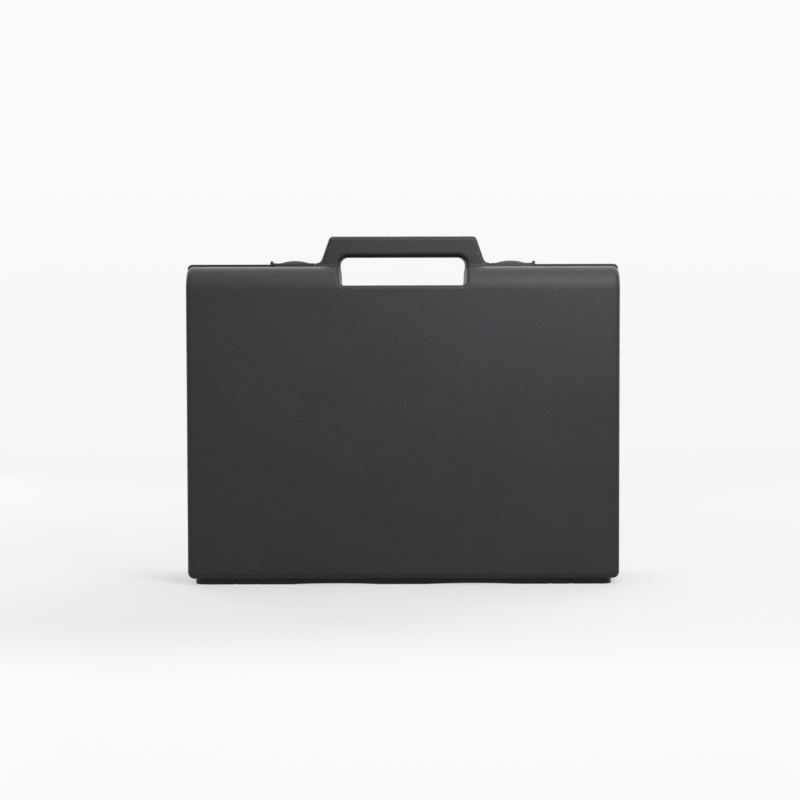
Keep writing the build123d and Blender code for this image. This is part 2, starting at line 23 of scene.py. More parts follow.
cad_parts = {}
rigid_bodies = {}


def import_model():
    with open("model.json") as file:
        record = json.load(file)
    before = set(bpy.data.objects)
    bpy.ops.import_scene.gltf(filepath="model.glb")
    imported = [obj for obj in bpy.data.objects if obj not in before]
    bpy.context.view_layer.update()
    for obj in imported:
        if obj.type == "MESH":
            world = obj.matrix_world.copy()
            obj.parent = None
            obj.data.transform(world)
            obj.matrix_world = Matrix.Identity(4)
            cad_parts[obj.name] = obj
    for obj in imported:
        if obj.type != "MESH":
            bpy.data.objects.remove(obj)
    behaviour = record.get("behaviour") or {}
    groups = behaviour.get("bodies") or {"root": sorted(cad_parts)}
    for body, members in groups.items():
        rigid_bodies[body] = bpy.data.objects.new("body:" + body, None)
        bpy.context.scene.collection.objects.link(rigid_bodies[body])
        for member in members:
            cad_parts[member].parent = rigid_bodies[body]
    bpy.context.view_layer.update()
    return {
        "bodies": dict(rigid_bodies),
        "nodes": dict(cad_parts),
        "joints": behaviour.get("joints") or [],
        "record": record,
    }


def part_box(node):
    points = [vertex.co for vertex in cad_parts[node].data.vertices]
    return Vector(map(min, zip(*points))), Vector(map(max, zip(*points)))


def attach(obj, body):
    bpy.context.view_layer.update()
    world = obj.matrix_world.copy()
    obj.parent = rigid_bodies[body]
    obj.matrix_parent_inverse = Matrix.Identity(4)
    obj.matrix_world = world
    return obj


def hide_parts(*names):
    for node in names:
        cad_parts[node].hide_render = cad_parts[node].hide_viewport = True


LOG = logging.getLogger("carry_case")
MM = 0.001
TOUCH = 0.01 * MM
SIDES = ((-1, "left"), (1, "right"))

Frame = dict[str, Any]
Mesh = bmesh.types.BMesh
Vert = bmesh.types.BMVert
Edge = bmesh.types.BMEdge
Material = bpy.types.Material
Tree = bpy.types.NodeTree
Node = bpy.types.Node
Socket = bpy.types.NodeSocket
Colour = tuple[int, int, int]
Point = tuple[float, float, float]
Span = tuple[float, float]


class Body(Enum):
    """Bodies of the case that a piece can ride on."""

    BASE = "base"
    LID = "lid"


class Slot(Enum):
    """Material slots of the record."""

    CASE = "case_plastic"
    LATCH = "latch_plastic"
    STEEL = "steel"
    FOAM = "foam"


class Kind(Enum):
    """Shader nodes that the finishes and the studio use."""

    COORD = "ShaderNodeTexCoord"
    SPLIT = "ShaderNodeSeparateXYZ"
    MAPPING = "ShaderNodeMapping"
    NOISE = "ShaderNodeTexNoise"
    VORONOI = "ShaderNodeTexVoronoi"
    MATH = "ShaderNodeMath"
    RANGE = "ShaderNodeMapRange"
    MIX = "ShaderNodeMix"
    BUMP = "ShaderNodeBump"
    BEVEL = "ShaderNodeBevel"
    GEOMETRY = "ShaderNodeNewGeometry"
    VECTOR = "ShaderNodeVectorMath"
    GROUP = "ShaderNodeGroup"
    ENTRY = "NodeGroupInput"
    LEAVE = "NodeGroupOutput"
    PRINCIPLED = "ShaderNodeBsdfPrincipled"
    EMISSION = "ShaderNodeEmission"
    BACKGROUND = "ShaderNodeBackground"
    MIX_SHADER = "ShaderNodeMixShader"
    PATH = "ShaderNodeLightPath"
    OUTPUT = "ShaderNodeOutputMaterial"
    WORLD_OUTPUT = "ShaderNodeOutputWorld"


class Op(Enum):
    """Operations of the Math node that the finishes and the studio use."""

    ADD = "ADD"
    SUBTRACT = "SUBTRACT"
    MULTIPLY = "MULTIPLY"
    MULTIPLY_ADD = "MULTIPLY_ADD"
    MAXIMUM = "MAXIMUM"
    ABSOLUTE = "ABSOLUTE"


def tone(red: int, green: int, blue: int) -> tuple[float, float, float, float]:
    """Turn a display colour into the linear colour that a shader takes.

    Args:
        red: Red, from 0 to 255.
        green: Green, from 0 to 255.
        blue: Blue, from 0 to 255.

    Returns:
        The linear colour with full alpha.
    """

    def linear(level: int) -> float:
        """Linear value of one display level."""
        part = level / 255
        return part / 12.92 if part <= 0.04045 else ((part + 0.055) / 1.055) ** 2.4

    return (linear(red), linear(green), linear(blue), 1.0)


class Graph:
    """Short way to build a shader node tree."""

    def __init__(self, tree: Tree) -> None:
        """Take the node tree of a material, a world or a group."""
        self.tree = tree

    def add(self, kind: Kind, settings: dict[str, Any] | None = None, **inputs: Any) -> Node:
        """Add a node and fill its inputs.

        Args:
            kind: Which node.
            settings: Values of the node's own properties.
            **inputs: Its inputs, as fill takes them.

        Returns:
            The new node.
        """
        node = self.tree.nodes.new(kind.value)
        for name, value in (settings or {}).items():
            setattr(node, name, value)
        self.fill(node, **inputs)
        return node

    def fill(self, node: Node, **inputs: Any) -> None:
        """Link a node's inputs, or set their values.

        Args:
            node: The node.
            **inputs: Output socket, node with one main output, or plain value for each input, by name
                with _ for a space, or i0, i1 by place.
        """
        for name, value in inputs.items():
            place = name[1:]
            key = int(place) if name[0] == "i" and place.isdigit() else name.replace("_", " ")
            socket = node.inputs[key]
            if isinstance(value, Node):
                value = value.outputs[0]
            if isinstance(value, Socket):
                self.tree.links.new(value, socket)
            else:
                socket.default_value = value

    def coords(self) -> Socket:
        """Object coordinates of the surface."""
        return self.add(Kind.COORD).outputs["Object"]

    def bevel(self, radius: Any) -> Node:
        """Normal of a surface whose edges are rounded by a radius."""
        return self.add(Kind.BEVEL, {"samples": 4}, Radius=radius)

    def math(self, operation: Op, *values: Any, clamp: bool = False) -> Socket:
        """Add a Math node and give its output, kept between 0 and 1 if clamped."""
        inputs = {f"i{place}": value for place, value in enumerate(values)}
        return self.add(Kind.MATH, {"operation": operation.value, "use_clamp": clamp}, **inputs).outputs[0]

    def ramp(self, value: Any, low: float, high: float, start: float = 0.0, end: float = 1.0) -> Socket:
        """Map a value smoothly from one range to another, clamped.

        Args:
            value: Output to map.
            low: Value that gives start.
            high: Value that gives end.
            start: Result at low.
            end: Result at high.

        Returns:
            The mapped output.
        """
        settings = {"interpolation_type": "SMOOTHSTEP"}
        node = self.add(Kind.RANGE, settings, Value=value, From_Min=low, From_Max=high, To_Min=start, To_Max=end)
        return node.outputs[0]

    def blend(self, share: Any, first: Any, second: Any) -> Socket:
        """Mix two colours, by the share of the second one."""
        return self.add(Kind.MIX, {"data_type": "RGBA"}, i0=share, i6=first, i7=second).outputs[2]

    def use(self, group: Tree, **inputs: Any) -> Node:
        """Place a node group and fill its inputs."""
        return self.add(Kind.GROUP, {"node_tree": group}, **inputs)


def new_group(name: str, inputs: dict[str, float], outputs: Sequence[str]) -> tuple[Graph, Node, Node]:
    """Start a shader node group with float sockets.

    Args:
        name: Name of the group.
        inputs: Default value of each input.
        outputs: Names of the outputs.

    Returns:
        The graph, the group's input node and its output node.
    """
    tree = bpy.data.node_groups.new(name, "ShaderNodeTree")
    for socket, value in inputs.items():
        tree.interface.new_socket(socket, in_out="INPUT", socket_type="NodeSocketFloat").default_value = value
    for socket in outputs:
        tree.interface.new_socket(socket, in_out="OUTPUT", socket_type="NodeSocketFloat")
    graph = Graph(tree)
    return graph, graph.add(Kind.ENTRY), graph.add(Kind.LEAVE)


def new_material(name: str) -> tuple[Material, Graph]:
    """Start a material with an empty node tree.

    Args:
        name: Name of the material.

    Returns:
        The material and its graph.
    """
    material = bpy.data.materials.new(name)
    material.use_nodes = True
    material.node_tree.nodes.clear()
    return material, Graph(material.node_tree)


class Effects:
    """Surface effects that several finishes share, each a node group built once."""

    def __init__(self) -> None:
        """Build every effect."""
        self.grain = self._grain()
        self.mottle = self._mottle()
        self.wear = self._wear()
        self.cells = self._cells()

    @staticmethod
    def _grain() -> Tree:
        """Build the grain of a spark-eroded mould: pebbles with a finer tooth on them.

        Returns:
            A group that gives the height of the grain.
        """
        graph, entry, leave = new_group("mould_grain", {"Pebbles": 700.0, "Tooth": 2600.0}, ["Height"])
        place = graph.coords()
        pebbles = graph.add(
            Kind.VORONOI, {"feature": "SMOOTH_F1"}, Vector=place, Scale=entry.outputs["Pebbles"], Smoothness=0.6
        )
        tooth = graph.add(Kind.NOISE, Vector=place, Scale=entry.outputs["Tooth"], Detail=2.0)
        rounded = graph.ramp(pebbles.outputs["Distance"], 0.1, 0.75, 1.0, 0.0)
        graph.fill(leave, Height=graph.math(Op.MULTIPLY_ADD, tooth.outputs["Fac"], 0.35, rounded))
        return graph.tree

    @staticmethod
    def _mottle() -> Tree:
        """Build the uneven tone of handled plastic: broad clouds with a fine speckle.

        Returns:
            A group that gives a value about one half.
        """
        graph, entry, leave = new_group("handled_mottle", {"Clouds": 14.0, "Speckle": 900.0}, ["Value"])
        place = graph.coords()
        clouds = graph.add(Kind.NOISE, Vector=place, Scale=entry.outputs["Clouds"], Detail=4.0, Roughness=0.6)
        speckle = graph.add(Kind.NOISE, Vector=place, Scale=entry.outputs["Speckle"], Detail=2.0)
        half = graph.math(Op.MULTIPLY, clouds.outputs["Fac"], 0.55)
        graph.fill(leave, Value=graph.math(Op.MULTIPLY_ADD, speckle.outputs["Fac"], 0.45, half))
        return graph.tree

    @staticmethod
    def _wear() -> Tree:
        """Build the rub marks along edges, where the bevelled normal leaves the flat one.

        Returns:
            A group that gives a mask of worn edges.
        """
        graph, entry, leave = new_group("edge_wear", {"Radius": 0.8 * MM, "Breakup": 160.0}, ["Mask"])
        rounded = graph.bevel(entry.outputs["Radius"])
        flat = graph.add(Kind.GEOMETRY).outputs["Normal"]
        lean = graph.add(Kind.VECTOR, {"operation": "DOT_PRODUCT"}, i0=rounded, i1=flat)
        place = graph.coords()
        patches = graph.add(Kind.NOISE, Vector=place, Scale=entry.outputs["Breakup"], Detail=4.0, Roughness=0.7)
        edge = graph.ramp(lean.outputs["Value"], 0.97, 0.8)
        torn = graph.ramp(patches.outputs["Fac"], 0.42, 0.68)
        graph.fill(leave, Mask=graph.math(Op.MULTIPLY, edge, torn, clamp=True))
        return graph.tree

    @staticmethod
    def _cells() -> Tree:
        """Build the open cells of cut foam: round pores with thin walls, and a few large ones.

        Returns:
            A group that gives the height of the surface and a mask of the pores.
        """
        graph, entry, leave = new_group("foam_cells", {"Cells": 900.0}, ["Height", "Pores"])
        place = graph.coords()
        small = graph.add(Kind.VORONOI, {"feature": "F1"}, Vector=place, Scale=entry.outputs["Cells"])
        sparse = graph.math(Op.MULTIPLY, entry.outputs["Cells"], 0.37)
        large = graph.add(Kind.VORONOI, {"feature": "F1"}, Vector=place, Scale=sparse)
        pores = graph.ramp(small.outputs["Distance"], 0.62, 0.2)
        holes = graph.ramp(large.outputs["Distance"], 0.34, 0.12)
        open_pores = graph.math(Op.MAXIMUM, pores, holes)
        graph.fill(leave, Pores=open_pores, Height=graph.math(Op.SUBTRACT, 1.0, open_pores))
        return graph.tree


@dataclass(frozen=True)
class Finish:
    """What every finish of the case has.

    Attributes:
        name: Name of the material.
        colour: Display colour of the surface.
        shade: Display colour of its darker patches.
        roughness: Roughness of the bare surface.
        clouds: Scale of its broad patches.
        speckle: Scale of its fine speckle.
        rough_spread: What the smoothest and the roughest patches add to the roughness.
        contrast: Values of the mottle that give the full shade and the full colour.
    """

    name: str
    colour: Colour
    shade: Colour
    roughness: float
    clouds: float
    speckle: float
    rough_spread: Span
    contrast: Span = (0.34, 0.66)

    def _start(self, effects: Effects) -> tuple[Material, Graph, Node, Socket]:
        """Make the material with an empty Principled shader and its mottle.

        Args:
            effects: Shared effects.

        Returns:
            The material, its graph, its shader and the mottle's value.
        """
        material, graph = new_material(self.name)
        material.diffuse_color = tone(*self.colour)
        shader = graph.add(Kind.PRINCIPLED)
        graph.add(Kind.OUTPUT, Surface=shader)
        mottle = graph.use(effects.mottle, Clouds=self.clouds, Speckle=self.speckle).outputs["Value"]
        return material, graph, shader, mottle

    def _body(self, graph: Graph, mottle: Socket) -> Socket:
        """Colour of the clean surface, which turns from shade to colour with the mottle."""
        return graph.blend(graph.ramp(mottle, *self.contrast), tone(*self.shade), tone(*self.colour))

    def _rough(self, graph: Graph, pattern: Socket) -> Socket:
        """Roughness that follows a pattern."""
        smoothest, roughest = (self.roughness + part for part in self.rough_spread)
        return graph.ramp(pattern, 0.3, 0.7, smoothest, roughest)


@dataclass(frozen=True)
class MouldedPlastic(Finish):
    """Grained shell plastic, left smooth on the seam bead, the posts and the feet, where a darker colour is painted
    shade.

    Attributes:
        smooth_shaded_colour: Display colour of the ungrained zones, darkened as painted shade on the recessed bead
            and posts and on the feet under the body.
        smooth_roughness: Roughness there.
        worn_colour: Display colour of rubbed edges.
        wear_share: How much of it shows at most on the grain.
        smooth_wear_share: How much of it shows at most on the ungrained zones.
        grain_depth: Depth of the grain.
        edge_round: Radius that the edges seem to have.
        specular: Share of the full reflection, which the grain scatters.
        smooth_specular: Share of it on the ungrained zones.
        foot_height: Height under which the foot rails are smooth and painted darker as shade.
        post_start: Distance from the middle past which the bead and the latch posts are smooth and painted darker as
            shade.
        bead_depth: Depth of the bead on each side of the seam.
        top_height: Height over which the bead and posts stand.
        zone_blur: Distance over which the grain dies out on each side of a zone's limit.
    """

    smooth_shaded_colour: Colour = (12, 12, 14)
    smooth_roughness: float = 0.42
    worn_colour: Colour = (92, 91, 96)
    wear_share: float = 0.35
    smooth_wear_share: float = 0.06
    grain_depth: float = 0.05 * MM
    edge_round: float = 0.35 * MM
    specular: float = 0.33
    smooth_specular: float = 0.25
    foot_height: float = 4.4 * MM
    post_start: float = 100.8 * MM
    bead_depth: float = 2.5 * MM
    top_height: float = 247.1 * MM
    zone_blur: float = 0.15 * MM

    def _smooth_shaded_zone(self, graph: Graph) -> Socket:
        """Mask the feet, the bead and the latch posts, which are smooth and get a darker colour as painted shade.

        Args:
            graph: Graph of the material.

        Returns:
            The mask, 1 where the plastic is smooth and painted darker as shade.
        """

        def past(value: Socket, limit: float, blur: float = self.zone_blur) -> Socket:
            """Mask of the values past a limit, or short of it where the blur is negative."""
            return graph.ramp(value, limit - blur, limit + blur)

        across, through, height = graph.add(Kind.SPLIT, Vector=graph.coords()).outputs
        outboard = past(graph.math(Op.ABSOLUTE, across), self.post_start)
        bead = past(graph.math(Op.ABSOLUTE, through), self.bead_depth, -self.zone_blur)
        trim = graph.math(Op.MULTIPLY, outboard, graph.math(Op.MAXIMUM, bead, past(height, self.top_height)))
        return graph.math(Op.MAXIMUM, past(height, self.foot_height, -self.zone_blur), trim)

    def build(self, effects: Effects) -> Material:
        """Build the material.

        Args:
            effects: Shared effects.

        Returns:
            The material.
        """
        material, graph, shader, mottle = self._start(effects)
        smooth = self._smooth_shaded_zone(graph)
        # The ungrained zones take a darker colour: painted shade on the bead and posts in their recess and on the
        # feet under the body.
        clean = graph.blend(smooth, self._body(graph, mottle), tone(*self.smooth_shaded_colour))
        worn = graph.use(effects.wear, Radius=0.7 * MM, Breakup=140.0).outputs["Mask"]
        most = graph.ramp(smooth, 0.0, 1.0, self.wear_share, self.smooth_wear_share)
        less_rough = graph.math(Op.MULTIPLY, smooth, self.smooth_roughness - self.roughness)
        grain = graph.use(effects.grain, Pebbles=760.0, Tooth=2400.0).outputs["Height"]
        height = graph.math(Op.MULTIPLY, grain, graph.math(Op.SUBTRACT, 1.0, smooth))
        rounded = graph.bevel(self.edge_round)
        graph.fill(
            shader,
            Base_Color=graph.blend(graph.math(Op.MULTIPLY, worn, most), clean, tone(*self.worn_colour)),
            Specular_IOR_Level=graph.ramp(smooth, 0.0, 1.0, self.specular, self.smooth_specular),
            Roughness=graph.math(Op.ADD, self._rough(graph, mottle), less_rough),
            Normal=graph.add(Kind.BUMP, Strength=1.0, Distance=self.grain_depth, Height=height, Normal=rounded),
        )
        return material


@dataclass(frozen=True)
class SatinPlastic(Finish):
    """Smooth latch plastic with faint rub marks along its edges.

    Attributes:
        worn_colour: Display colour of rubbed edges.
        wear_share: How much of it shows at most.
        ripple_depth: Depth of the flow ripples in the surface.
        edge_round: Radius that the edges seem to have.
    """

    worn_colour: Colour = (84, 84, 88)
    wear_share: float = 0.4
    ripple_depth: float = 0.02 * MM
    edge_round: float = 0.3 * MM

    def build(self, effects: Effects) -> Material:
        """Build the material.

        Args:
            effects: Shared effects.

        Returns:
            The material.
        """
        material, graph, shader, mottle = self._start(effects)
        worn = graph.use(effects.wear, Radius=0.5 * MM, Breakup=320.0).outputs["Mask"]
        share = graph.math(Op.MULTIPLY, worn, self.wear_share)
        rounded = graph.bevel(self.edge_round)
        graph.fill(
            shader,
            Base_Color=graph.blend(share, self._body(graph, mottle), tone(*self.worn_colour)),
            Roughness=self._rough(graph, mottle),
            Normal=graph.add(Kind.BUMP, Strength=1.0, Distance=self.ripple_depth, Height=mottle, Normal=rounded),
        )
        return material


@dataclass(frozen=True)
class DrawnSteel(Finish):
    """Drawn steel pin with fine lines along its length.

    Attributes:
        line_scale: Scale of the lines along X, Y and Z.
        line_depth: Depth of the lines.
    """

    line_scale: Point = (60.0, 4200.0, 4200.0)
    line_depth: float = 0.01 * MM

    def build(self, effects: Effects) -> Material:
        """Build the material.

        Args:
            effects: Shared effects.

        Returns:
            The material.
        """
        material, graph, shader, mottle = self._start(effects)
        along = graph.add(Kind.MAPPING, Vector=graph.coords(), Scale=self.line_scale)
        lines = graph.add(Kind.NOISE, Vector=along, Scale=1.0, Detail=2.0).outputs["Fac"]
        graph.fill(
            shader,
            Base_Color=graph.blend(mottle, tone(*self.shade), tone(*self.colour)),
            Metallic=1.0,
            Roughness=self._rough(graph, lines),
            Normal=graph.add(Kind.BUMP, Strength=0.4, Distance=self.line_depth, Height=lines),
        )
        return material


@dataclass(frozen=True)
class CutFoam(Finish):
    """Open-cell foam, matt, with painted shade that makes the pores darker than the cell walls.

    Attributes:
        pore_shade_colour: Display colour inside the pores, painted shade for the inside of the open cells.
        pore_shade_share: How much of the painted shade shows at most.
        cells: Cells per metre.
        cell_depth: Depth of the pores.
        specular: Share of the full reflection.
        sheen: Soft light that the cell walls throw at a low angle.
        sheen_roughness: How widely they throw it.
    """

    pore_shade_colour: Colour = (22, 22, 24)
    pore_shade_share: float = 0.8
    cells: float = 950.0
    cell_depth: float = 0.35 * MM
    specular: float = 0.2
    sheen: float = 0.25
    sheen_roughness: float = 0.6

    def build(self, effects: Effects) -> Material:
        """Build the material.

        Args:
            effects: Shared effects.

        Returns:
            The material.
        """
        material, graph, shader, mottle = self._start(effects)
        cells = graph.use(effects.cells, Cells=self.cells)
        # The pores take a darker colour: painted shade inside the open cells.
        pores = graph.math(Op.MULTIPLY, cells.outputs["Pores"], self.pore_shade_share)
        height = cells.outputs["Height"]
        graph.fill(
            shader,
            Base_Color=graph.blend(pores, self._body(graph, mottle), tone(*self.pore_shade_colour)),
            Roughness=self._rough(graph, mottle),
            Specular_IOR_Level=self.specular,
            Sheen_Weight=self.sheen,
            Sheen_Roughness=self.sheen_roughness,
            Normal=graph.add(Kind.BUMP, Strength=0.8, Distance=self.cell_depth, Height=height),
        )
        return material


@dataclass(frozen=True)
class StudioPaper:
    """Pale paper of the floor, which turns into an even background away from the case. Close round the case less of
    the background is added, which paints a shade on the floor there.

    A fade gives the two places between which it happens. A gain gives two places, then the share of
    the background that is added at each.

    Attributes:
        colour: Display colour of the lit paper.
        roughness: Its roughness.
        low_glow: Display colour of the background at floor level.
        high_glow: Display colour of it high up and at the front.
        height_fade: Heights of the change to the high glow.
        front_fade: Depths of the change to the high glow.
        case_gain: Gain from the case to its back.
        far_gain: Gain further behind the case.
        side_gain: Gain from the middle to the sides, in front of side_fade.
        side_fade: Depths between which the gain at the sides comes in.
        front_gain: Share that is added at the front.
    """

    colour: Colour = (188, 189, 191)
    roughness: float = 0.9
    low_glow: Colour = (245, 245, 246)
    high_glow: Colour = (252, 252, 252)
    height_fade: Span = (-0.3, 1.1)
    front_fade: Span = (-0.18, -0.42)
    case_gain: tuple[float, ...] = (0.0, 0.08, 0.55, 0.8)
    far_gain: tuple[float, ...] = (0.2, 1.4, 0.0, 0.2)
    side_gain: tuple[float, ...] = (0.16, 0.34, 0.0, 0.22)
    side_fade: Span = (0.08, 0.0)
    front_gain: float = 0.4

    def build(self) -> Material:
        """Build the material.

        Returns:
            The material.
        """
        material, graph = new_material("studio_paper")
        paper = graph.add(Kind.PRINCIPLED, Base_Color=tone(*self.colour), Roughness=self.roughness)
        across, depth, height = graph.add(Kind.SPLIT, Vector=graph.coords()).outputs
        near = graph.ramp(depth, *self.front_fade)
        lift = graph.math(Op.MAXIMUM, graph.ramp(height, *self.height_fade), near)
        glow_colour = graph.blend(lift, tone(*self.low_glow), tone(*self.high_glow))
        glow = graph.add(Kind.EMISSION, Color=glow_colour, Strength=1.0)
        behind = graph.math(Op.ADD, graph.ramp(depth, *self.case_gain), graph.ramp(depth, *self.far_gain))
        sides = graph.ramp(graph.math(Op.ABSOLUTE, across), *self.side_gain)
        beside = graph.math(Op.MULTIPLY, sides, graph.ramp(depth, *self.side_fade))
        before = graph.math(Op.ADD, graph.math(Op.MULTIPLY, near, self.front_gain), beside)
        # The least background is added close round the case, most of all in front of its middle, which leaves a
        # painted shade on the floor there.
        share = graph.math(Op.ADD, behind, before, clamp=True)
        seen = graph.math(Op.MULTIPLY, share, shown_rays(graph))
        graph.add(Kind.OUTPUT, Surface=graph.add(Kind.MIX_SHADER, i0=seen, i1=paper, i2=glow))
        return material


def shown_rays(graph: Graph) -> Socket:
    """Mask the rays that show the background: those of the camera, of gloss and of glass.

    Args:
        graph: Graph of a material or world.

    Returns:
        The mask.
    """
    path = graph.add(Kind.PATH)
    gloss = graph.math(Op.MAXIMUM, path.outputs["Is Glossy Ray"], path.outputs["Is Transmission Ray"])
    return graph.math(Op.MAXIMUM, path.outputs["Is Camera Ray"], gloss)


def new_object(name: str, mesh: Mesh, material: Material) -> bpy.types.Object:
    """Put a finished bmesh into the scene.

    Args:
        name: Name of the object.
        mesh: Its shape, which is freed.
        material: Its finish.

    Returns:
        The new object.
    """
    data = bpy.data.meshes.new(name)
    mesh.to_mesh(data)
    mesh.free()
    copied = data.attributes.get("custom_normal")
    if copied:
        data.attributes.remove(copied)
    data.materials.append(material)
    shown = bpy.data.objects.new(name, data)
    bpy.context.scene.collection.objects.link(shown)
    return shown


def add_piece(name: str, mesh: Mesh, material: Material, body: Body) -> bpy.types.Object:
    """Turn a finished bmesh into a piece that rides on a body.

    Args:
        name: Name of the piece.
        mesh: Its shape, which is freed.
        material: Its finish.
        body: Body that it rides on.

    Returns:
        The new object.
    """
    piece = new_object(name, mesh, material)
    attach(piece, body.value)
    LOG.info("%s rides on the %s with %d faces", name, body.value, len(piece.data.polygons))
    return piece


def shade_smooth(mesh: Mesh, limit: float) -> None:
    """Shade a mesh smooth, with sharp edges where faces turn by more than a limit.

    Args:
        mesh: The mesh.
        limit: Angle in degrees.
    """
    for face in mesh.faces:
        face.smooth = True
    for edge in mesh.edges:
        edge.smooth = edge.calc_face_angle(0.0) < math.radians(limit)


def verts_of(items: Iterable[Any]) -> list[Vert]:
    """Vertices among the items that an operator gives back."""
    return [item for item in items if isinstance(item, Vert)]


def grow(mesh: Mesh, edges: Sequence[Edge]) -> list[Vert]:
    """Extrude edges in place and give the new vertices, ready to be moved."""
    return verts_of(bmesh.ops.extrude_edge_only(mesh, edges=edges)["geom"])


def bevel_edges(mesh: Mesh, edges: Sequence[Edge], size: float, segments: int, clamp: bool = False) -> None:
    """Bevel or round edges of a mesh.

    Args:
        mesh: The mesh.
        edges: Its edges.
        size: Distance that the bevel takes from each face.
        segments: 1 for a flat bevel, more for a round one.
        clamp: Whether it stops short of its neighbours.
    """
    bmesh.ops.bevel(
        mesh, geom=edges, offset=size, offset_type="OFFSET", segments=segments, profile=0.5, affect="EDGES",
        material=-1, clamp_overlap=clamp,
    )


@dataclass
class RigidPieces:
    """The shells, latches and pins of the frame, which only need their finishes.

    Attributes:
        finishes: Finish of each slot.
    """

    finishes: dict[Slot, Material]

    def dress(self, frame: Frame) -> None:
        """Give each rigid node its finish.

        Args:
            frame: The loaded frame.
        """
        for name, node in frame["nodes"].items():
            for place in node.material_slots:
                kind = Slot(place.material.name.split(".")[0])
                if kind in self.finishes:
                    place.material = self.finishes[kind]
                    LOG.info("%s dressed in %s", name, place.material.name)


@dataclass
class FoamPiece:
    """What the foam pieces share.

    Attributes:
        node: Node that the piece stands for.
        material: Foam finish.
    """

    node: str
    material: Material

    def _lay(self, mesh: Mesh, ending: str, body: Body) -> None:
        """Lay the finished foam into a shell, where it stands for its node.

        Args:
            mesh: Its shape.
            ending: Last word of its name.
            body: Body that it rides on.
        """
        piece = add_piece(f"{self.node}_{ending}", mesh, self.material, body)
        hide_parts(self.node)


@dataclass
class FoamSheet(FoamPiece):
    """One sheet of cut foam, with its pockets, made from a copy of its solid.

    Attributes:
        rim_round: Radius of the soft edge round the front face and its pockets.
        rim_angle: Least angle in radians that a rim edge turns through.
    """

    rim_round: float = 0.9 * MM
    rim_angle: float = 0.5

    def build(self, frame: Frame) -> None:
        """Build the sheet.

        Args:
            frame: The loaded frame.
        """
        mesh = bmesh.new()
        mesh.from_mesh(frame["nodes"][self.node].data)
        bmesh.ops.remove_doubles(mesh, verts=mesh.verts, dist=0.002 * MM)
        bmesh.ops.dissolve_limit(
            mesh, angle_limit=math.radians(1.0), verts=mesh.verts, edges=mesh.edges, delimit={"NORMAL"}
        )
        front = min(vertex.co.y for vertex in mesh.verts)
        rims = [edge for edge in mesh.edges if self._on_rim(edge, front)]
        bevel_edges(mesh, rims, self.rim_round, 3, clamp=True)
        shade_smooth(mesh, 40)
        self._lay(mesh, "cut", Body.BASE)

    def _on_rim(self, edge: Edge, front: float) -> bool:
        """Whether an edge bounds the front face."""
        flat = all(vertex.co.y < front + TOUCH for vertex in edge.verts)
        return flat and edge.calc_face_angle(0.0) > self.rim_angle


